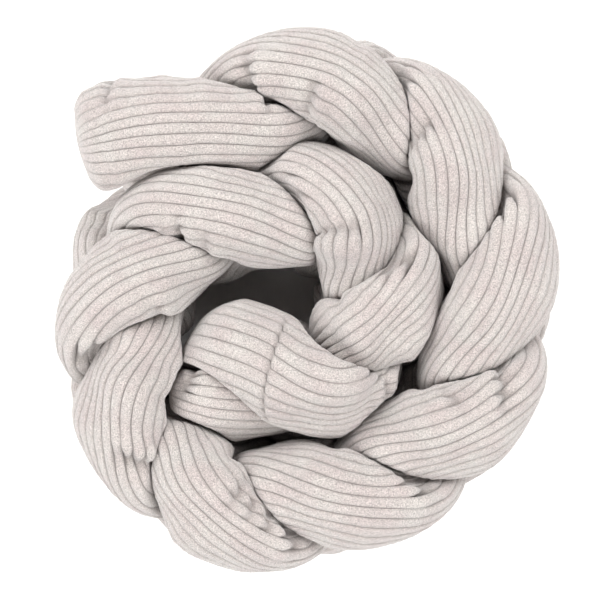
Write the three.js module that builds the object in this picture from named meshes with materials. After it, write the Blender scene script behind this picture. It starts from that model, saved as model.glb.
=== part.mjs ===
import * as THREE from 'three';

// Braided crib bumper: three filled corduroy tubes in one flat plait, rolled up and stood on its edge.
// Millimetres, +Z up, floor at Z = 0. The roll's outer end points to -X.

// Tubes
const TUBE_RADIUS = 42;
const OVAL_IN_BENDS = 0.42;
const PRESS_SHARPNESS = 8;
const PRESS_GAP = 4.6;
const LEAST_RADIUS = 3;
const WALES_ROUND = 26;
const WALE_DEPTH = 1.6;
const CLOTH_COLOUR = 0xded6d1;

// Plait: how far each tube rises above and below the middle and sways to both sides of the route
const MIDDLE_HEIGHT = 86;
const RISE = 56;
const SWAY = 22.8;
const SWAY_LEAN = 0.88;
const CROSSINGS_PER_TURN = 3;

// The three tubes: the crossings each starts and stops at, how its inner end's corners are rounded in plan,
// and the slope at which that end is sewn, further on along its outer side.
// The lower two start short of the top one.
const TUBES = [
  { name: 'strand_1', start: -1, stop: 12.95, corner: 16, slope: 0.45 },
  { name: 'strand_2', start: -0.8, stop: 13, corner: 36, slope: 0 },
  { name: 'strand_3', start: -0.8, stop: 13, corner: 36, slope: 0 },
];

// The plait opens into three parallel tubes before its first crossing and after its last one
const FIRST_CROSSING = -0.05;
const LAST_CROSSING = 12.42;
const OPENING_KNEE = 0.18;

// Ends: sewn flat across, the outer one spread wider than the inner one.
// wide and dip are shares of the radius: how far an end spreads, and how deep its seam is drawn in.
// The rest are lengths: how far the spread reaches, the taper to the sewn edge, the bulge of that edge,
// and the seam's place and width. The outer corners are rounded alike in plan.
const OUTER_END = { wide: 0.32, reach: 75, taper: 34, dome: 2, seam: 22, dip: 0.05, seamWidth: 7 };
const INNER_END = { wide: 0.03, reach: 50, taper: 34, dome: 2, seam: 24, dip: 0.04, seamWidth: 7 };
const OUTER_CORNER = 34;

// Share of a tube's height that is closed at a sewn edge, and how far back from a sewn edge its slant fades
const EDGE_CLOSED = 0.99;
const SLANT_REACH = 42;

// Stretches of a tube that lie off the even plait: reach is in crossings, out and up in millimetres
const NUDGES = [
  { tube: 0, crossing: 6.3, reach: 0.25, out: 7, up: 0 },
  { tube: 0, crossing: 11.42, reach: 0.3, out: -18, up: 0 },
  { tube: 0, crossing: 11.7, reach: 0.22, out: -11, up: -8 },
  { tube: 0, crossing: 12.75, reach: 0.35, out: -3, up: 0 },
  { tube: 0, crossing: 13, reach: 0.35, out: 5, up: -10 },
  { tube: 1, crossing: 7.4, reach: 0.22, out: -7, up: 6 },
  { tube: 1, crossing: 8.4, reach: 0.25, out: 42, up: 0 },
  { tube: 1, crossing: 12.85, reach: 0.38, out: 2, up: 15 },
  { tube: 2, crossing: -0.2, reach: 0.6, out: -9, up: -6 },
  { tube: 2, crossing: 1.5, reach: 0.3, out: -7, up: 0 },
  { tube: 2, crossing: 8.12, reach: 0.3, out: -6, up: 0 },
  { tube: 2, crossing: 9.6, reach: 0.3, out: 2, up: 0 },
  { tube: 2, crossing: 11.42, reach: 0.18, out: 0, up: 5 },
];

// Fuller and slacker stretches of a tube: reach is in crossings, swell is a share of the radius
const SWELLS = [
  { tube: 0, crossing: 12.6, reach: 0.5, swell: 0.22 },
  { tube: 1, crossing: 6.6, reach: 0.2, swell: -0.08 },
  { tube: 1, crossing: 12.8, reach: 0.4, swell: 0.06 },
  { tube: 2, crossing: 2, reach: 0.5, swell: -0.07 },
  { tube: 2, crossing: 8.12, reach: 0.3, swell: 0.08 },
  { tube: 2, crossing: 11.05, reach: 0.22, swell: -0.1 },
];

// Mesh fineness, and the stretch of its own bend over which a tube presses on itself
const STATIONS = 600;
const OWN_CLEAR = 14;
const OWN_BEND = 120;
const RUN_STEP = 8;
const CLEAR_PASSES = 6;
const BODY_SECTIONS = 47;
const BEND_WEIGHT = 60;
const CORNER_SECTIONS = 4;
const ROUND_POINTS = 2 * WALES_ROUND;

// Route of the roll in plan, one row for each crossing from the outer end to the inner end
const ROUTE = [
  { x: -197.5, y: 137.5 },
  { x: -98, y: 159.5 },
  { x: 37.6, y: 193.5 },
  { x: 140.8, y: 127.8 },
  { x: 180, y: -0.8 },
  { x: 139.8, y: -115.2 },
  { x: 37.6, y: -179 },
  { x: -79.5, y: -182.5 },
  { x: -158.8, y: -91.5 },
  { x: -156, y: 20.5 },
  { x: -68.1, y: 82.3 },
  { x: 52.9, y: 72.7 },
  { x: 73.5, y: -18.6 },
  { x: 25.5, y: -83.5 },
  { x: -114.5, y: -59.5 },
];
const ROUTE_START = -1;

const UP = new THREE.Vector3(0, 0, 1);

const routePoints = ROUTE.map((row) => new THREE.Vector3(row.x, row.y, MIDDLE_HEIGHT));
const route = new THREE.CatmullRomCurve3(routePoints, false, 'catmullrom', 0.5);

// Rises from nothing to a straight slope through a soft knee
function softRamp(x) {
  return OPENING_KNEE * Math.log(1 + Math.exp(x / OPENING_KNEE));
}

function crossingPhase(crossing) {
  return FIRST_CROSSING + softRamp(crossing - FIRST_CROSSING) - softRamp(crossing - LAST_CROSSING);
}

// One column of a table's rows for a tube, each fading away to both sides of its crossing
function localSum(rows, column, tube, crossing) {
  let sum = 0;
  for (const row of rows.filter((each) => each.tube === tube)) {
    sum += row[column] * Math.exp(-(((crossing - row.crossing) / row.reach) ** 2));
  }
  return sum;
}

// Middle line of one tube, with its length so far, direction and two cross directions at each station
function tubeLine(tube) {
  const stations = [];
  for (let i = 0; i < STATIONS; i += 1) {
    const crossing = THREE.MathUtils.lerp(TUBES[tube].start, TUBES[tube].stop, i / (STATIONS - 1));
    const t = (crossing - ROUTE_START) / (ROUTE.length - 1);
    const angle = Math.PI / 2 + 2 * Math.PI * (crossingPhase(crossing) - tube) / CROSSINGS_PER_TURN;
    const sway = SWAY * (Math.sin(2 * angle) + SWAY_LEAN / 4 * Math.sin(4 * angle));
    const along = route.getTangent(t);
    const outward = new THREE.Vector3().crossVectors(UP, along);
    const out = sway + localSum(NUDGES, 'out', tube, crossing);
    const point = route.getPoint(t).addScaledVector(outward, out);
    point.z += RISE * Math.sin(angle) + localSum(NUDGES, 'up', tube, crossing);
    const swell = localSum(SWELLS, 'swell', tube, crossing);
    stations.push({ point, swell, length: 0 });
  }
  stations.forEach((station, i) => {
    const before = stations[Math.max(i - 1, 0)];
    const after = stations[Math.min(i + 1, STATIONS - 1)];
    station.along = new THREE.Vector3().subVectors(after.point, before.point).normalize();
    if (i > 0) {
      station.length = before.length + station.point.distanceTo(before.point);
    }
  });
  stations.forEach((station, i) => {
    const before = stations[Math.max(i - 1, 0)];
    const after = stations[Math.min(i + 1, STATIONS - 1)];
    const span = after.length - before.length;
    station.bend = new THREE.Vector3().subVectors(after.along, before.along).divideScalar(span);
    const guide = i === 0 ? UP : before.right;
    station.right = guide.clone().addScaledVector(station.along, -guide.dot(station.along)).normalize();
    station.side = new THREE.Vector3().crossVectors(station.along, station.right);
  });
  return stations;
}

// Direction from a station towards one of the points round it
function rayDirection(station, ray) {
  const turn = 2 * Math.PI * ray / ROUND_POINTS;
  const direction = station.right.clone().multiplyScalar(Math.cos(turn));
  return direction.addScaledVector(station.side, Math.sin(turn));
}

// How far a tube can reach from a station along one ray before it meets a neighbour half way
function reachLimit(station, direction, neighbours) {
  const offset = new THREE.Vector3();
  let limit = Infinity;
  for (const point of neighbours) {
    const ahead = offset.subVectors(point, station.point).dot(direction);
    if (ahead > 0) {
      limit = Math.min(limit, offset.lengthSq() / (2 * ahead));
    }
  }
  return Math.max(limit - PRESS_GAP / 2, LEAST_RADIUS);
}

// Points of all tubes that can press on a station: its own bend close by, and straight runs between sections
function pressingPoints(station, tube, tubes) {
  const points = [];
  for (const bent of tube.line) {
    const apart = Math.abs(bent.length - station.length);
    if (apart > OWN_CLEAR && apart < OWN_BEND) {
      points.push(bent.point);
    }
  }
  for (const other of tubes) {
    for (const run of other.runs) {
      if (other !== tube || Math.abs(run.length - station.length) >= OWN_BEND) {
        points.push(run.point);
      }
    }
  }
  return points;
}

// Evenly spaced points on the straight runs from each section to the next
function straightRuns(line, sections) {
  const runs = [];
  for (let i = 1; i < sections.length; i += 1) {
    const from = line[sections[i - 1]];
    const to = line[sections[i]];
    const steps = Math.ceil((to.length - from.length) / RUN_STEP);
    for (let step = 0; step < steps; step += 1) {
      const share = step / steps;
      const length = THREE.MathUtils.lerp(from.length, to.length, share);
      runs.push({ length, point: from.point.clone().lerp(to.point, share) });
    }
  }
  return runs;
}

// Numbers of the stations that get a section: at the corners and seams of both ends, and closer in bends
function sectionStations(line) {
  const total = line[STATIONS - 1].length;
  const stationBefore = (length) => line.findLastIndex((station) => station.length <= length);
  const outerSeam = stationBefore(OUTER_END.seam);
  const innerSeam = stationBefore(total - INNER_END.seam);
  const first = stationBefore(OUTER_END.seam + OUTER_END.seamWidth);
  const last = stationBefore(total - INNER_END.seam - INNER_END.seamWidth);
  const measure = [0];
  for (let i = first + 1; i <= last; i += 1) {
    const step = line[i].length - line[i - 1].length;
    measure.push(measure.at(-1) + step * (1 + BEND_WEIGHT * line[i].bend.length()));
  }
  const chosen = new Set([outerSeam, innerSeam]);
  for (let i = 0; i < CORNER_SECTIONS; i += 1) {
    const share = 1 - Math.cos(Math.PI / 2 * i / CORNER_SECTIONS);
    chosen.add(stationBefore(share * OUTER_END.taper));
    chosen.add(stationBefore(total - share * INNER_END.taper));
  }
  for (let i = 0; i < BODY_SECTIONS; i += 1) {
    const goal = measure.at(-1) * i / (BODY_SECTIONS - 1);
    chosen.add(first + measure.findIndex((value) => value >= goal));
  }
  return [...chosen].sort((a, b) => a - b);
}

// Sizes of a tube's nearer end, with the distance to it
function nearerEnd(station, tube) {
  const total = tube.line[STATIONS - 1].length;
  if (station.length < total / 2) {
    return { ...OUTER_END, corner: OUTER_CORNER, slope: 0, toEnd: station.length };
  }
  return { ...INNER_END, corner: tube.corner, slope: tube.slope, toEnd: total - station.length };
}

// Shares of its width and height that a tube keeps near a sewn end
function endShares(end) {
  const corner = Math.max(1 - end.toEnd / end.corner, 0);
  const taper = EDGE_CLOSED * Math.max(1 - end.toEnd / end.taper, 0);
  const cut = end.corner / (TUBE_RADIUS * (1 + end.wide));
  const wide = 1 - cut * (1 - Math.sqrt(1 - corner * corner));
  const high = Math.sqrt(1 - taper * taper);
  return new THREE.Vector3(wide, wide, high);
}

// Free radius of a tube in one direction: oval in a bend, flattened near a sewn end, fuller in places
function freeRadius(station, direction, end) {
  const bend = Math.min(station.bend.length() * TUBE_RADIUS, 1);
  const inBend = bend > 0 ? station.bend.dot(direction) / station.bend.length() : 0;
  const oval = OVAL_IN_BENDS * bend * (0.5 - inBend * inBend);
  const flat = end.wide * Math.exp(-((end.toEnd / end.reach) ** 2)) * (1 - 2 * direction.z * direction.z);
  const dip = end.dip * Math.exp(-(((end.toEnd - end.seam) / end.seamWidth) ** 2));
  return TUBE_RADIUS * (1 + oval + flat - dip + station.swell);
}

// Reach of a tube from one station along every ray, pressed by its neighbours
function stationReach(station, tube, tubes) {
  const end = nearerEnd(station, tube);
  const neighbours = pressingPoints(station, tube, tubes);
  const reaches = [];
  for (let ray = 0; ray < ROUND_POINTS; ray += 1) {
    const direction = rayDirection(station, ray);
    const free = freeRadius(station, direction, end);
    const limit = reachLimit(station, direction, neighbours);
    const reach = (free ** -PRESS_SHARPNESS + limit ** -PRESS_SHARPNESS) ** (-1 / PRESS_SHARPNESS);
    reaches.push({ reach, limit });
  }
  return reaches;
}

// Draws the rings in where the straight skin between two of them would pass a neighbour
function clearRings(rings, sections, stations) {
  for (let pass = 0; pass < CLEAR_PASSES; pass += 1) {
    for (let i = 1; i < sections.length; i += 1) {
      const from = sections[i - 1];
      const to = sections[i];
      for (let number = from; number <= to; number += 1) {
        const share = (number - from) / (to - from);
        stations[number].forEach((point, ray) => {
          const a = rings[i - 1][ray];
          const b = rings[i][ray];
          const excess = THREE.MathUtils.lerp(a.reach, b.reach, share) - point.limit;
          if (excess > 0) {
            a.reach -= excess * (1 - share);
            b.reach -= excess * share;
          }
        });
      }
    }
  }
}

// Closed ring of points round one station: ribbed lengthways, flat on the floor, slanted near a slanted end
function ringPoints(station, reaches, end) {
  const shares = endShares(end);
  const outward = new THREE.Vector3().crossVectors(UP, station.along).normalize();
  const slope = end.slope * Math.exp(-((end.toEnd / SLANT_REACH) ** 2));
  return reaches.map((point, ray) => {
    const direction = rayDirection(station, ray);
    const groove = ray % 2 === 0 ? 0 : WALE_DEPTH * shares.z;
    const ribbed = Math.max(point.reach - groove, LEAST_RADIUS);
    const toFloor = direction.z < 0 ? station.point.z / -direction.z : Infinity;
    const offset = direction.multiplyScalar(Math.min(ribbed, toFloor)).multiply(shares);
    return offset.addScaledVector(station.along, slope * offset.dot(outward)).add(station.point);
  });
}

function tubeRings(tube, tubes) {
  const stations = tube.line.map((station) => stationReach(station, tube, tubes));
  const rings = tube.sections.map((number) => stations[number].map((point) => ({ ...point })));
  clearRings(rings, tube.sections, stations);
  return rings.map((reaches, i) => {
    const station = tube.line[tube.sections[i]];
    return ringPoints(station, reaches, nearerEnd(station, tube));
  });
}

// Closed skin over all sections of one tube, domed at both ends
function tubeGeometry(tube, tubes) {
  const rings = tubeRings(tube, tubes);
  const firstStation = tube.line[0];
  const lastStation = tube.line[STATIONS - 1];
  const outerPole = firstStation.point.clone().addScaledVector(firstStation.along, -OUTER_END.dome);
  const innerPole = lastStation.point.clone().addScaledVector(lastStation.along, INNER_END.dome);
  const points = [...rings.flat(), outerPole, innerPole];
  const outerIndex = points.length - 2;
  const innerIndex = points.length - 1;
  const lastRing = (rings.length - 1) * ROUND_POINTS;
  const faces = [];
  for (let j = 0; j < ROUND_POINTS; j += 1) {
    const next = (j + 1) % ROUND_POINTS;
    for (let i = 0; i < rings.length - 1; i += 1) {
      const here = i * ROUND_POINTS;
      const ahead = here + ROUND_POINTS;
      faces.push(here + j, here + next, ahead + next);
      faces.push(here + j, ahead + next, ahead + j);
    }
    faces.push(outerIndex, next, j);
    faces.push(innerIndex, lastRing + j, lastRing + next);
  }
  const geometry = new THREE.BufferGeometry().setFromPoints(points);
  geometry.setIndex(faces);
  geometry.computeVertexNormals();
  return geometry;
}

const tubes = TUBES.map((row, number) => {
  const line = tubeLine(number);
  const sections = sectionStations(line);
  const runs = straightRuns(line, sections);
  return { ...row, line, sections, runs };
});

const bumper = new THREE.Group();
bumper.name = 'braided_crib_bumper';
tubes.forEach((tube) => {
  const cloth = new THREE.MeshStandardMaterial({ color: CLOTH_COLOUR, roughness: 0.95, metalness: 0 });
  cloth.name = 'corduroy';
  const mesh = new THREE.Mesh(tubeGeometry(tube, tubes), cloth);
  mesh.name = tube.name;
  bumper.add(mesh);
});

// Origin under the middle of the roll
const box = new THREE.Box3().setFromObject(bumper);
const middle = box.getCenter(new THREE.Vector3());
bumper.children.forEach((mesh) => mesh.geometry.translate(-middle.x, -middle.y, 0));

export default bumper;
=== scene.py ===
import math

import bpy
import numpy as np
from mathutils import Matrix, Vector


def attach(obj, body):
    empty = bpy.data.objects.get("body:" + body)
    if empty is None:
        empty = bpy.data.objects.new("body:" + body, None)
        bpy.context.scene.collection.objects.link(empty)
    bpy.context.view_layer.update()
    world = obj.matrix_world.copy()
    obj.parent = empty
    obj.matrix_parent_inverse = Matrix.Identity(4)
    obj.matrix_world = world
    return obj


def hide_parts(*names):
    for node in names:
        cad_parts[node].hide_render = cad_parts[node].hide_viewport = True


# Looks of the braided crib bumper: three filled corduroy tubes in one flat plait, rolled up on its edge

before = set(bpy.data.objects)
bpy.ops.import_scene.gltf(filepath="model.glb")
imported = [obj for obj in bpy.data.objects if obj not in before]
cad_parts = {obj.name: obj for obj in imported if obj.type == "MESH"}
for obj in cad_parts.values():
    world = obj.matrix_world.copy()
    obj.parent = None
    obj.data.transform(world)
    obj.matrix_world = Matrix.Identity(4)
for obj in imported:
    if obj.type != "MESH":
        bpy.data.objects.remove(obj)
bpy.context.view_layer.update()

# Sizes of the tubes are in millimetres until a mesh is made; all else in Blender is in metres
METRES = 0.001
TUBE_NAMES = ["strand_1", "strand_2", "strand_3"]
TUBE_STARTS = [-1.0, -0.8, -0.8]
TUBE_STOPS = [12.95, 13.0, 13.0]
UP = np.array([0.0, 0.0, 1.0])

# Tubes and plait, as in the part
TUBE_RADIUS = 42.0
OVAL_IN_BENDS = 0.42
LEAST_RADIUS = 3.0
OWN_CLEAR = 14.0
MIDDLE_HEIGHT = 86.0
RISE = 56.0
SWAY = 22.8
SWAY_LEAN = 0.88
CROSSINGS_PER_TURN = 3
FIRST_CROSSING = -0.05
LAST_CROSSING = 12.42
EDGE_CLOSED = 0.99
OPENING_KNEE = 0.18

# Pressing of the tubes on one another, with a smaller gap and crisper edges than in the part
PRESS_SHARPNESS = 22.0
PRESS_GAP = 0.4
PRESS_RANGE = 130.0
END_CLEAR = 12.0

# Ends that are sewn flat: widening and dip as shares of the radius, the others in millimetres
OUTER_END = {
    "wide": 0.32,
    "dip": 0.05,
    "reach": 75,
    "corner": 34,
    "taper": 34,
    "dome": 2,
    "seam": 22,
    "seam_width": 7,
}
INNER_END = {
    "wide": 0.03,
    "dip": 0.04,
    "reach": 50,
    "corner": 36,
    "taper": 34,
    "dome": 2,
    "seam": 24,
    "seam_width": 7,
}

# Slant of one tube's inner end: how far back it fades, its slope, and the rounding of its corners
SLANT = {"tube": 0, "reach": 42.0, "slope": 0.45, "corner": 16.0}

# Middle of the part in the frame of the route, which the part's origin is moved to
PART_MIDDLE = np.array([6.218, -1.216, 0.0])

# Route of the roll in plan, x and y for each crossing from the outer end to the inner end
ROUTE_START = -1
ROUTE = np.array(
    [
        (-197.5, 137.5),
        (-98.0, 159.5),
        (37.6, 193.5),
        (140.8, 127.8),
        (180.0, -0.8),
        (139.8, -115.2),
        (37.6, -179.0),
        (-79.5, -182.5),
        (-158.8, -91.5),
        (-156.0, 20.5),
        (-68.1, 82.3),
        (52.9, 72.7),
        (73.5, -18.6),
        (25.5, -83.5),
        (-114.5, -59.5),
    ]
)

# Stretches of a tube that lie further out or higher than the even plait: crossings, then millimetres
NUDGES = [
    {"tube": 0, "crossing": 6.3, "reach": 0.25, "out": 7.0, "up": 0.0},
    {"tube": 0, "crossing": 11.42, "reach": 0.3, "out": -18.0, "up": 0.0},
    {"tube": 0, "crossing": 11.7, "reach": 0.22, "out": -11.0, "up": -8.0},
    {"tube": 0, "crossing": 12.75, "reach": 0.35, "out": -3.0, "up": 0.0},
    {"tube": 0, "crossing": 13.0, "reach": 0.35, "out": 5.0, "up": -10.0},
    {"tube": 1, "crossing": 7.4, "reach": 0.22, "out": -7.0, "up": 6.0},
    {"tube": 1, "crossing": 8.4, "reach": 0.25, "out": 42.0, "up": 0.0},
    {"tube": 1, "crossing": 12.85, "reach": 0.38, "out": 2.0, "up": 15.0},
    {"tube": 2, "crossing": -0.2, "reach": 0.6, "out": -9.0, "up": -6.0},
    {"tube": 2, "crossing": 1.5, "reach": 0.3, "out": -7.0, "up": 0.0},
    {"tube": 2, "crossing": 8.12, "reach": 0.3, "out": -6.0, "up": 0.0},
    {"tube": 2, "crossing": 9.6, "reach": 0.3, "out": 2.0, "up": 0.0},
    {"tube": 2, "crossing": 11.42, "reach": 0.18, "out": 0.0, "up": 5.0},
]

# Fuller and slacker stretches of a tube: crossings along, share of the radius
SWELLS = [
    {"tube": 0, "crossing": 12.6, "reach": 0.5, "swell": 0.22},
    {"tube": 1, "crossing": 6.6, "reach": 0.2, "swell": -0.08},
    {"tube": 1, "crossing": 12.8, "reach": 0.4, "swell": 0.06},
    {"tube": 2, "crossing": 2.0, "reach": 0.5, "swell": -0.07},
    {"tube": 2, "crossing": 8.12, "reach": 0.3, "swell": 0.08},
    {"tube": 2, "crossing": 11.05, "reach": 0.22, "swell": -0.1},
]

# Corduroy: wales round a tube, their grooves, and the shares of a wale where the mesh has its points
WALES_ROUND = 26
WALE_POINTS = np.array([0.0, 0.07, 0.26, 0.5, 0.74, 0.93])
WALE_MIDDLE = 3
GROOVE_DEPTH = 1.7
GROOVE_WIDTH = 0.55
WALE_CROWN = 0.35
FUZZ = 0.22

# Wander of the wales round a tube: shares of a wale, and lengths along the tube
WALE_WANDER = 0.09
WANDER_LENGTH = 190.0
SIDE_WANDER = {"share": 0.6, "pace": 2.3, "phase": 1.0}

# Wrinkles on the inner side of bends: where they start and how soon they are full, their spacing and depth
WRINKLE_BEND = 0.45
WRINKLE_RANGE = 0.6
WRINKLE_SPACING = 17.0
WRINKLE_DEPTH = 4.0
WRINKLE_POINTED = 1.5

# Waves that make the wrinkles uneven: millimetres along the tube, waves round it
WRINKLE_SWAY = {"size": 3.0, "waves": 5, "length": 23.0}
WRINKLE_RIPPLE = {"size": 2.0, "waves": 9}

# Creases where a tube kinks: a line on its skin by crossing and degrees from the top, then millimetres
CREASE_COLUMNS = ("tube", "crossing", "angle", "to_crossing", "to_angle", "wide", "deep", "lip")
CREASES = [
    (1, 0.58, -46, 0.57, 10, 13, 9, 3.0),
    (1, 0.89, -62, 0.89, -20, 8, 5, 2.0),
    (0, -0.68, 36, -0.58, 82, 9, 6, 2.0),
    (0, 0.36, 62, 0.36, 20, 8, 8, 3.0),
    (2, 1.60, -16, 1.50, 18, 10, 7, 2.5),
    (2, 1.86, -62, 1.80, -22, 10, 6, 2.0),
    (0, 2.68, -54, 2.46, 12, 14, 10, 3.0),
    (1, 3.96, -52, 3.94, -32, 7, 5, 1.5),
    (1, 3.65, -42, 3.78, 0, 13, 9, 3.0),
    (2, 4.73, -46, 4.57, -5, 13, 9, 3.0),
    (0, 5.95, -56, 5.93, -30, 7, 6, 2.0),
    (0, 5.86, -54, 5.82, -30, 7, 6, 2.0),
    (0, 5.75, -46, 5.71, -24, 7, 7, 2.0),
    (0, 5.62, -36, 5.54, 8, 10, 8, 2.5),
    (1, 6.68, -40, 6.77, 0, 13, 9, 3.0),
    (2, 7.66, -34, 7.53, 4, 11, 9, 2.5),
    (2, 8.11, -66, 8.06, -38, 8, 5, 2.0),
    (0, 8.80, -60, 8.79, -30, 4, 9, 2.0),
    (0, 8.72, -62, 8.72, -28, 10, -4, 0.0),
    (0, 8.95, -64, 8.94, -40, 7, 4, 1.5),
    (1, 9.75, -46, 9.57, -14, 6, 4, 3.0),
    (1, 9.98, -56, 10.04, -2, 10, 7, 2.5),
    (2, 10.80, -38, 10.64, -6, 13, 10, 3.0),
    (2, 11.40, 10, 11.44, -80, 5, 2.5, 2.0),
    (0, 11.84, -30, 11.76, 8, 13, 10, 3.0),
    (1, 12.90, 2, 12.85, -56, 6, 8, 3.0),
]

# Wale tips at a crease lie on the later side of a line that runs outwards, and else on the earlier side
TIP_LENGTH = 4.0
CREASE_STEEP = 3.0
CREASE_END = 3.0
LIP_PLACE = 8.0
LIP_WIDTH = 7.0
# Painted shade along a crease line, as a share of the darker cloth colour
CREASE_PAINTED_SHADE = 0.7

# Seam across one tube near its inner end, where the wales of two lengths of cloth meet half a wale apart
SEAM = {
    "tube": 0,
    "crossing": 12.44,
    "angle": -60,
    "to_crossing": 12.27,
    "to_angle": 70,
    "wide": 1.6,
    "deep": 2.4,
    # Painted shade along the seam line, as a share of the darker cloth colour
    "painted_shade": 0.8,
    "jog": 0.9,
}

# Uneven filling: soft waves along and round a tube, which start at another place on each tube
PUFF_HEIGHT = 1.2
PUFF_LENGTH = 60.0
PUFF_PHASE = 2.1
PUFF_COLUMNS = ("pace", "waves", "phases", "share")
PUFFS = [
    (1.0, 2, 1, 1.0),
    (1.7, -1, 3, 1.0),
    (2.9, 3, 5, 0.6),
]

# Cloth colours, scene linear; the last is painted shade between the wales and along crease and seam lines
GREIGE = (0.522, 0.484, 0.455)
ROSY = (0.486, 0.424, 0.405)
PILE_DARK = (0.59, 0.58, 0.575)
PILE_LIGHT = (1.46, 1.46, 1.46)
# Painted shade: a darker colour mixed in between the wales and along crease and seam lines
PAINTED_SHADE_COLOUR = (0.29, 0.25, 0.233)

# Cloth surface: shader values, and noise for the blotches and the pile with the span that is spread out
CLOTH_SURFACE = {
    "Roughness": 0.95,
    "Specular IOR Level": 0.15,
    "Sheen Weight": 0.65,
    "Sheen Roughness": 0.5,
}
PILE_BUMP = {"Strength": 0.8, "Distance": 0.0015}
BLOTCH_NOISE = {"scale": 38, "detail": 3, "low": 0.35, "high": 0.65}
PILE_NOISE = {"scale": 950, "detail": 3, "low": 0.3, "high": 0.7}

# Studio: level of the light from everywhere, and soft boxes round the object by compass angle and strength
FILL_STRENGTH = 0.11
SOFT_BOX_SIZE = 1.4
SOFT_BOX_DISTANCE = 2.2
SOFT_BOX_ELEVATION = 42.0
SOFT_BOXES = [(135, 42.5), (225, 39.0), (315, 35.0), (45, 38.0)]
FLOOR_HALF = 4.0
FLOOR_COLOUR = (0.97, 0.955, 0.945, 1)
FLOOR_ROUGHNESS = 0.9

# Camera straight above the roll, as in the photograph
CAMERA_HEIGHT = 1.142
CAMERA_LENS = 66.67
CAMERA_SENSOR = 36

# Mesh fineness
SECTIONS = 605
LINE_STEPS = 3000
BEND_WEIGHT = 50.0
END_WEIGHT = 2.0
END_STRETCH = 30.0
CREASE_WEIGHT = 1.6
CREASE_STRETCH = 0.11
NEIGHBOUR_STEP = 2
CAP_RINGS = 6
CAP_MIDDLE = 0.5

# Limits that keep the arithmetic finite
STEEPEST = 30
LEAST_SLOPE = 1e-6


def unit(vectors):
    return vectors / np.linalg.norm(vectors, axis=-1, keepdims=True)


def route_points(crossing):
    """Smooth route through the rows of ROUTE at these crossings, in plan."""
    rows = np.vstack([2 * ROUTE[0] - ROUTE[1], ROUTE, 2 * ROUTE[-1] - ROUTE[-2]])
    place = crossing - ROUTE_START
    row = np.clip(np.floor(place).astype(int), 0, len(ROUTE) - 2)
    share = (place - row)[:, None]
    start = rows[row + 1]
    stop = rows[row + 2]
    start_slope = (stop - rows[row]) / 2
    stop_slope = (rows[row + 3] - start) / 2
    square = 3 * (stop - start) - 2 * start_slope - stop_slope
    cube = 2 * (start - stop) + start_slope + stop_slope
    return start + share * (start_slope + share * (square + share * cube))


def soft_ramp(x):
    """Rises from nothing to a straight slope through a soft knee."""
    return OPENING_KNEE * np.logaddexp(0, x / OPENING_KNEE)


def crossing_phase(crossing):
    opened = soft_ramp(crossing - FIRST_CROSSING)
    closed = soft_ramp(crossing - LAST_CROSSING)
    return FIRST_CROSSING + opened - closed


def middle_points(tube, crossing):
    """Middle line of one tube at these crossings."""
    angle = np.pi / 2 + 2 * np.pi * (crossing_phase(crossing) - tube) / CROSSINGS_PER_TURN
    sway = SWAY * (np.sin(2 * angle) + SWAY_LEAN / 4 * np.sin(4 * angle))
    plan = route_points(crossing)
    ahead = unit(np.gradient(plan, crossing, axis=0))
    outward = np.column_stack([-ahead[:, 1], ahead[:, 0]])
    height = MIDDLE_HEIGHT + RISE * np.sin(angle)
    for nudge in NUDGES:
        if nudge["tube"] == tube:
            share = np.exp(-(((crossing - nudge["crossing"]) / nudge["reach"]) ** 2))
            sway = sway + nudge["out"] * share
            height = height + nudge["up"] * share
    return np.column_stack([plan + outward * sway[:, None], height])


def line_lengths(points):
    steps = np.linalg.norm(np.diff(points, axis=0), axis=1)
    return np.concatenate([[0.0], np.cumsum(steps)])


def tube_creases(tube):
    """Creases of one tube, by named columns."""
    rows = [dict(zip(CREASE_COLUMNS, row)) for row in CREASES]
    return [row for row in rows if row["tube"] == tube]


def section_crossings(tube):
    """Crossings where one tube gets its sections: closer together in bends, at creases and at the ends."""
    crossing = np.linspace(TUBE_STARTS[tube], TUBE_STOPS[tube], LINE_STEPS)
    points = middle_points(tube, crossing)
    length = line_lengths(points)
    along = unit(np.gradient(points, length, axis=0))
    bend = np.linalg.norm(np.gradient(along, length, axis=0), axis=1)
    to_end = np.minimum(length, length[-1] - length)
    weight = 1 + BEND_WEIGHT * bend + END_WEIGHT * (to_end < END_STRETCH)
    for crease in tube_creases(tube) + [SEAM] * (tube == SEAM["tube"]):
        beside = crossing - (crease["crossing"] + crease["to_crossing"]) / 2
        weight = weight + CREASE_WEIGHT * np.exp(-((beside / CREASE_STRETCH) ** 2))
    measure = np.concatenate([[0.0], np.cumsum(np.diff(length) * weight[1:])])
    return points, crossing, np.interp(np.linspace(0, measure[-1], SECTIONS), measure, crossing)


def carried_along(along):
    """Cross direction that starts upwards and follows the tube without twisting."""
    carried = np.empty_like(along)
    guide = UP
    for number, ahead in enumerate(along):
        guide = unit(guide - ahead * guide.dot(ahead))
        carried[number] = guide
    return carried


def tube_line(tube):
    """Middle line of one tube with its directions, at every section."""
    points, crossing, chosen = section_crossings(tube)
    middle = np.column_stack([np.interp(chosen, crossing, points[:, axis]) for axis in range(3)])
    length = line_lengths(middle)
    along = unit(np.gradient(middle, length, axis=0))
    right = carried_along(along)
    return {
        "tube": tube,
        "crossing": chosen,
        "middle": middle,
        "length": length,
        "along": along,
        "bend": np.gradient(along, length, axis=0),
        "right": right,
        "side": np.cross(along, right),
    }


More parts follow.
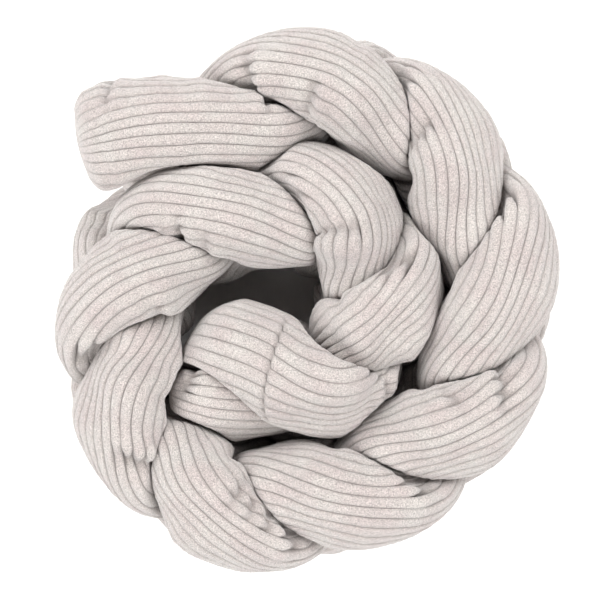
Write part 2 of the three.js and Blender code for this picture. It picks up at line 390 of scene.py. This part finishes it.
def wale_turns(line, tube):
    """Angle of every mesh point round the tube. The wales wander a little along it, and jump at a seam."""
    wales = np.arange(WALES_ROUND)[:, None] + WALE_POINTS
    wave = 2 * np.pi * line["length"] / WANDER_LENGTH + tube
    side_wave = SIDE_WANDER["pace"] * wave + SIDE_WANDER["phase"]
    shift = WALE_WANDER * (np.sin(wave) + SIDE_WANDER["share"] * np.sin(side_wave))
    turns = 2 * np.pi * (wales.ravel() + shift[:, None]) / WALES_ROUND
    if tube == SEAM["tube"]:
        across, _ = from_line(line, ray_angles(line, tube_rays(line, turns)), SEAM)
        turns = turns + np.pi / WALES_ROUND * (1 + np.tanh(across / SEAM["jog"])) / 2
    return turns


def tube_rays(line, turns):
    across = np.cos(turns)[:, :, None] * line["right"][:, None, :]
    return across + np.sin(turns)[:, :, None] * line["side"][:, None, :]


def from_line(line, angles, row):
    """Distance of every skin point from a line on the skin, to its later side, and its share of the line."""
    start, stop = np.interp([row["crossing"], row["to_crossing"]], line["crossing"], line["length"])
    rise = TUBE_RADIUS * math.radians(row["to_angle"] - row["angle"])
    long = math.hypot(stop - start, rise)
    ahead = (stop - start) / long
    round_tube = rise / long
    along = line["length"][:, None] - (start + stop) / 2
    turned = angles - math.radians((row["angle"] + row["to_angle"]) / 2)
    turned = TUBE_RADIUS * ((turned + np.pi) % (2 * np.pi) - np.pi)
    across = along * round_tube - turned * ahead
    beside = np.abs(along * ahead + turned * round_tube)
    share = 1 / (1 + np.exp(np.clip((beside - long / 2) / CREASE_END, -STEEPEST, STEEPEST)))
    return across, share


def end_of(line):
    """Distance of every section to its nearer end, and that end's sizes as columns."""
    total = line["length"][-1]
    outer = line["length"] < total / 2
    to_end = np.where(outer, line["length"], total - line["length"])
    sizes = {name: np.where(outer, OUTER_END[name], INNER_END[name])[:, None] for name in OUTER_END}
    if line["tube"] == SLANT["tube"]:
        sizes["corner"] = np.where(outer, OUTER_END["corner"], SLANT["corner"])[:, None]
    return to_end[:, None], sizes


def free_reach(line, rays):
    """Reach of a tube that nothing presses: oval in a bend, flattened near a sewn end."""
    to_end, end = end_of(line)
    bend = np.linalg.norm(line["bend"], axis=1)[:, None]
    in_bend = np.einsum("ijk,ik->ij", rays, line["bend"]) / bend
    oval = OVAL_IN_BENDS * np.minimum(bend * TUBE_RADIUS, 1) * (0.5 - in_bend**2)
    flat = end["wide"] * np.exp(-((to_end / end["reach"]) ** 2)) * (1 - 2 * rays[:, :, 2] ** 2)
    dip = end["dip"] * np.exp(-(((to_end - end["seam"]) / end["seam_width"]) ** 2))
    swell = np.zeros_like(to_end)
    for row in SWELLS:
        if row["tube"] == line["tube"]:
            share = np.exp(-(((line["crossing"] - row["crossing"]) / row["reach"]) ** 2))
            swell = swell + row["swell"] * share[:, None]
    return TUBE_RADIUS * (1 + oval + flat - dip + swell)


def reach_limit(line, lines, rays):
    """How far every ray can reach before it meets a neighbour half way."""
    others = []
    for other in lines:
        if other is not line:
            whole = other["length"] < other["length"][-1] - END_CLEAR
            others.append(other["middle"][whole][::NEIGHBOUR_STEP])
    own_whole = line["length"] < line["length"][-1] - END_CLEAR
    limits = np.empty(rays.shape[:2])
    for number, middle in enumerate(line["middle"]):
        apart = np.abs(line["length"] - line["length"][number]) > OWN_CLEAR
        own = line["middle"][apart & own_whole]
        offsets = np.vstack([*others, own]) - middle
        squares = np.sum(offsets**2, axis=1)
        near = squares < PRESS_RANGE**2
        closeness = np.max(2 * rays[number] @ offsets[near].T / squares[near], axis=1)
        limits[number] = 1 / np.maximum(closeness, 1 / PRESS_RANGE)
    return np.maximum(limits - PRESS_GAP / 2, LEAST_RADIUS)


def pressed_reach(line, lines, rays):
    """Reach of a tube along every ray, pressed by its neighbours."""
    free = free_reach(line, rays)
    limit = reach_limit(line, lines, rays)
    return (free**-PRESS_SHARPNESS + limit**-PRESS_SHARPNESS) ** (-1 / PRESS_SHARPNESS)


def end_shares(line):
    """Shares of its width and height that a tube keeps near a sewn end."""
    to_end, end = end_of(line)
    corner = np.maximum(1 - to_end / end["corner"], 0)
    taper = EDGE_CLOSED * np.maximum(1 - to_end / end["taper"], 0)
    cut = end["corner"] / (TUBE_RADIUS * (1 + end["wide"]))
    wide = 1 - cut * (1 - np.sqrt(1 - corner**2))
    high = np.sqrt(1 - taper**2)
    return wide, high


def end_slant(line, points):
    """Way along the tube that every skin point moves where an end is sewn shut at a slant."""
    to_end = line["length"][-1] - line["length"]
    share = SLANT["slope"] * np.exp(-((to_end / SLANT["reach"]) ** 2))
    outward = unit(np.cross(UP, line["along"]))
    aside = np.einsum("ijk,ik->ij", points - line["middle"][:, None, :], outward)
    return (aside * share[:, None])[:, :, None] * line["along"][:, None, :]


def wale_grooves():
    """Share of a full groove at every point round a tube, from 0 on a wale to 1 in a groove."""
    from_groove = np.minimum(WALE_POINTS, 1 - WALE_POINTS) * 2 * np.pi * TUBE_RADIUS / WALES_ROUND
    return np.tile(np.exp(-((from_groove / GROOVE_WIDTH) ** 2)), WALES_ROUND)


def wale_crowns():
    """Fall of a wale's rounded top from its middle to its sides, at every point round a tube."""
    from_middle = np.abs(2 * WALE_POINTS - 1)
    return np.tile(WALE_CROWN * from_middle**2, WALES_ROUND)


def ray_angles(line, rays):
    """Angle of every ray from straight up, positive towards the outside of the roll."""
    outward = unit(np.cross(UP, line["along"]))
    upward = np.cross(line["along"], outward)
    return np.arctan2(np.einsum("ijk,ik->ij", rays, outward), np.einsum("ijk,ik->ij", rays, upward))


def puffs(line, angles):
    """Soft unevenness of the filling."""
    along = line["length"][:, None] / PUFF_LENGTH
    phase = PUFF_PHASE * line["tube"]
    height = np.zeros_like(angles)
    for row in PUFFS:
        puff = dict(zip(PUFF_COLUMNS, row))
        wave = np.sin(puff["pace"] * along + puff["waves"] * angles + puff["phases"] * phase)
        height = height + puff["share"] * wave
    return PUFF_HEIGHT * height


def bend_wrinkles(line, rays, angles):
    """Short folds across the wales where a bend squeezes its inner side."""
    squeeze = TUBE_RADIUS * np.einsum("ijk,ik->ij", rays, line["bend"])
    amount = np.clip(squeeze - WRINKLE_BEND, 0, WRINKLE_RANGE) / WRINKLE_RANGE
    along = line["length"][:, None]
    sway = WRINKLE_SWAY["size"] * np.sin(WRINKLE_SWAY["waves"] * angles + along / WRINKLE_SWAY["length"])
    ripple = WRINKLE_RIPPLE["size"] * np.sin(WRINKLE_RIPPLE["waves"] * angles)
    place = np.pi * (along + (sway + ripple)) / WRINKLE_SPACING
    return WRINKLE_DEPTH * amount * (1 - np.abs(np.sin(place))) ** WRINKLE_POINTED


def creases(line, angles):
    """Height that the creases take from or add to the skin, and the painted shade along their lines and
    along the seam.
    """
    tips = TIP_LENGTH * np.tile((2 * WALE_POINTS - 1) ** 2, WALES_ROUND)
    wale_angles = np.repeat(angles[:, WALE_MIDDLE :: len(WALE_POINTS)], len(WALE_POINTS), axis=1)
    height = np.zeros_like(angles)
    painted_shade = np.zeros_like(angles)
    for row in tube_creases(line["tube"]):
        across, share = from_line(line, wale_angles, row)
        past = across - tips
        width = np.where(past > 0, CREASE_STEEP, row["wide"])
        trough = row["deep"] * np.exp(-((past / width) ** 2))
        lip = row["lip"] * np.exp(-(((past - LIP_PLACE) / LIP_WIDTH) ** 2))
        height = height + share * (lip - trough)
        # Painted shade in the trough of each crease
        painted_shade = np.maximum(painted_shade, CREASE_PAINTED_SHADE * share * np.exp(-((past / CREASE_STEEP) ** 2)))
    if line["tube"] == SEAM["tube"]:
        across, share = from_line(line, angles, SEAM)
        line_share = share * np.exp(-((across / SEAM["wide"]) ** 2))
        height = height - SEAM["deep"] * line_share
        # Painted shade along the seam line
        painted_shade = np.maximum(painted_shade, SEAM["painted_shade"] * line_share)
    return height, painted_shade


def tube_grid(line, lines, tube):
    """Points of one tube's skin, section by section, and the share of painted shade at every point."""
    turns = wale_turns(line, tube)
    rays = tube_rays(line, turns)
    wide, high = end_shares(line)
    groove_and_shade_shares = wale_grooves()
    angles = ray_angles(line, rays)
    reach = pressed_reach(line, lines, rays) - high * (GROOVE_DEPTH * groove_and_shade_shares + wale_crowns())
    folds, painted_shade = creases(line, angles)
    fuzz = FUZZ * np.random.default_rng(tube).standard_normal(reach.shape)
    reach = reach + high * (puffs(line, angles) - bend_wrinkles(line, rays, angles) + folds + fuzz)
    reach = np.maximum(reach, LEAST_RADIUS)
    down = np.minimum(rays[:, :, 2], -LEAST_SLOPE)
    to_floor = np.where(rays[:, :, 2] < 0, line["middle"][:, 2:] / -down, np.inf)
    reach = np.minimum(reach, to_floor)
    kept = np.stack([wide, wide, high], axis=-1)
    points = line["middle"][:, None, :] + rays * reach[:, :, None] * kept
    if tube == SLANT["tube"]:
        points = points + end_slant(line, points)
    # Painted shade share: the wale hollows, and the crease and seam lines
    return points, np.maximum(groove_and_shade_shares, painted_shade)


def cap_rings(ring, middle, outward, dome):
    """Rings that close an end, from the last section's ring to near its middle."""
    shares = 1 - np.arange(1, CAP_RINGS + 1)[:, None, None] / (CAP_RINGS + CAP_MIDDLE)
    bulge = dome * (1 - shares**2) * outward
    return middle + (ring - middle) * shares + bulge


def tube_mesh(name, line, lines, tube):
    """Closed mesh of one tube, with the share of painted shade between the wales and along crease and seam
    lines at every point.
    """
    points, groove_and_shade_shares = tube_grid(line, lines, tube)
    start = cap_rings(points[0], line["middle"][0], -line["along"][0], OUTER_END["dome"])
    stop = cap_rings(points[-1], line["middle"][-1], line["along"][-1], INNER_END["dome"])
    rings = np.concatenate([start[::-1], points, stop])
    groove_and_shade_shares = np.concatenate([groove_and_shade_shares[:CAP_RINGS], groove_and_shade_shares, groove_and_shade_shares[:CAP_RINGS]])
    count, round_points = rings.shape[:2]
    here = np.arange(count - 1)[:, None] * round_points + np.arange(round_points)
    beside = np.roll(here, -1, axis=1)
    quads = np.stack([here, beside, beside + round_points, here + round_points], axis=-1)
    faces = quads.reshape(-1, 4).tolist()
    faces.append(list(range(round_points))[::-1])
    faces.append(list(range((count - 1) * round_points, count * round_points)))
    mesh = bpy.data.meshes.new(name)
    vertices = (rings.reshape(-1, 3) - PART_MIDDLE) * METRES
    mesh.from_pydata(vertices.tolist(), [], faces)
    mesh.polygons.foreach_set("use_smooth", np.ones(len(mesh.polygons), bool))
    # Painted shade: share of the darker colour at every point, kept on the mesh
    attribute = mesh.attributes.new("groove", "FLOAT", "POINT")
    attribute.data.foreach_set("value", groove_and_shade_shares.astype(np.float32).ravel())
    return mesh


def noise_share(nodes, links, noise):
    """Noise on the cloth, spread out so that its low becomes 0 and its high becomes 1."""
    texture = nodes.new("ShaderNodeTexNoise")
    texture.inputs["Scale"].default_value = noise["scale"]
    texture.inputs["Detail"].default_value = noise["detail"]
    place = nodes.new("ShaderNodeTexCoord")
    links.new(place.outputs["Object"], texture.inputs["Vector"])
    span = nodes.new("ShaderNodeMapRange")
    span.inputs["From Min"].default_value = noise["low"]
    span.inputs["From Max"].default_value = noise["high"]
    links.new(texture.outputs["Fac"], span.inputs["Value"])
    return span.outputs["Result"]


def mixed(nodes, links, share, first, second):
    """Colour that goes from the first to the second as the share goes from 0 to 1."""
    mix = nodes.new("ShaderNodeMix")
    mix.data_type = "RGBA"
    links.new(share, mix.inputs["Factor"])
    for name, colour in (("A", first), ("B", second)):
        socket = next(s for s in mix.inputs if s.name == name and s.type == "RGBA")
        if isinstance(colour, tuple):
            socket.default_value = (*colour, 1)
        else:
            links.new(colour, socket)
    return next(s for s in mix.outputs if s.type == "RGBA")


def multiplied(nodes, links, first, second):
    """Product of two colours."""
    mix = nodes.new("ShaderNodeMix")
    mix.data_type = "RGBA"
    mix.blend_type = "MULTIPLY"
    mix.inputs["Factor"].default_value = 1
    sockets = [s for s in mix.inputs if s.type == "RGBA"]
    links.new(first, sockets[0])
    links.new(second, sockets[1])
    return next(s for s in mix.outputs if s.type == "RGBA")


def corduroy():
    """Greige corduroy with a soft mottled pile, and painted shade between the wales and along crease and
    seam lines.
    """
    material = bpy.data.materials.new("corduroy")
    material.use_nodes = True
    nodes = material.node_tree.nodes
    links = material.node_tree.links
    shader = nodes["Principled BSDF"]
    for name, value in CLOTH_SURFACE.items():
        shader.inputs[name].default_value = value
    blotch = noise_share(nodes, links, BLOTCH_NOISE)
    cloth = mixed(nodes, links, blotch, GREIGE, ROSY)
    pile = noise_share(nodes, links, PILE_NOISE)
    tufts = mixed(nodes, links, pile, PILE_DARK, PILE_LIGHT)
    speckled = multiplied(nodes, links, cloth, tufts)
    # Painted shade: the cloth colour goes towards the darker colour by the share kept on the mesh
    groove = nodes.new("ShaderNodeAttribute")
    groove.attribute_name = "groove"
    with_painted_shade = mixed(nodes, links, groove.outputs["Fac"], speckled, PAINTED_SHADE_COLOUR)
    links.new(with_painted_shade, shader.inputs["Base Color"])
    bump = nodes.new("ShaderNodeBump")
    for name, value in PILE_BUMP.items():
        bump.inputs[name].default_value = value
    links.new(pile, bump.inputs["Height"])
    links.new(bump.outputs["Normal"], shader.inputs["Normal"])
    return material


def make_tubes():
    cloth = corduroy()
    lines = [tube_line(tube) for tube in range(len(TUBE_NAMES))]
    for tube, name in enumerate(TUBE_NAMES):
        mesh = tube_mesh("corduroy_" + name, lines[tube], lines, tube)
        mesh.materials.append(cloth)
        piece = bpy.data.objects.new("corduroy_" + name, mesh)
        bpy.context.scene.collection.objects.link(piece)
        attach(piece, "root")
        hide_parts(name)


def make_floor():
    mesh = bpy.data.meshes.new("floor")
    signs = [(-1, -1), (1, -1), (1, 1), (-1, 1)]
    corners = [(FLOOR_HALF * x, FLOOR_HALF * y, 0) for x, y in signs]
    mesh.from_pydata(corners, [], [(0, 1, 2, 3)])
    paint = bpy.data.materials.new("floor_white")
    paint.use_nodes = True
    shader = paint.node_tree.nodes["Principled BSDF"]
    shader.inputs["Base Color"].default_value = FLOOR_COLOUR
    shader.inputs["Roughness"].default_value = FLOOR_ROUGHNESS
    mesh.materials.append(paint)
    floor = bpy.data.objects.new("floor", mesh)
    bpy.context.scene.collection.objects.link(floor)


def make_light():
    world = bpy.data.worlds.new("studio")
    world.use_nodes = True
    background = world.node_tree.nodes["Background"]
    background.inputs["Color"].default_value = (1, 1, 1, 1)
    background.inputs["Strength"].default_value = FILL_STRENGTH
    bpy.context.scene.world = world
    for number, (compass, watts) in enumerate(SOFT_BOXES):
        data = bpy.data.lights.new(f"soft_box_{number + 1}", "AREA")
        data.energy = watts
        data.size = SOFT_BOX_SIZE
        box = bpy.data.objects.new(data.name, data)
        tilt = math.radians(90 - SOFT_BOX_ELEVATION)
        turn = math.radians(compass + 90)
        box.rotation_euler = (tilt, 0, turn)
        box.location = box.rotation_euler.to_matrix() @ Vector((0, 0, SOFT_BOX_DISTANCE))
        bpy.context.scene.collection.objects.link(box)


def make_camera():
    data = bpy.data.cameras.new("camera")
    data.lens = CAMERA_LENS
    data.sensor_width = CAMERA_SENSOR
    camera = bpy.data.objects.new("camera", data)
    camera.location = (*(-PART_MIDDLE[:2] * METRES), CAMERA_HEIGHT)
    bpy.context.scene.collection.objects.link(camera)
    bpy.context.scene.camera = camera


make_tubes()
make_floor()
make_light()
make_camera()
bpy.context.scene.view_settings.view_transform = "Standard"
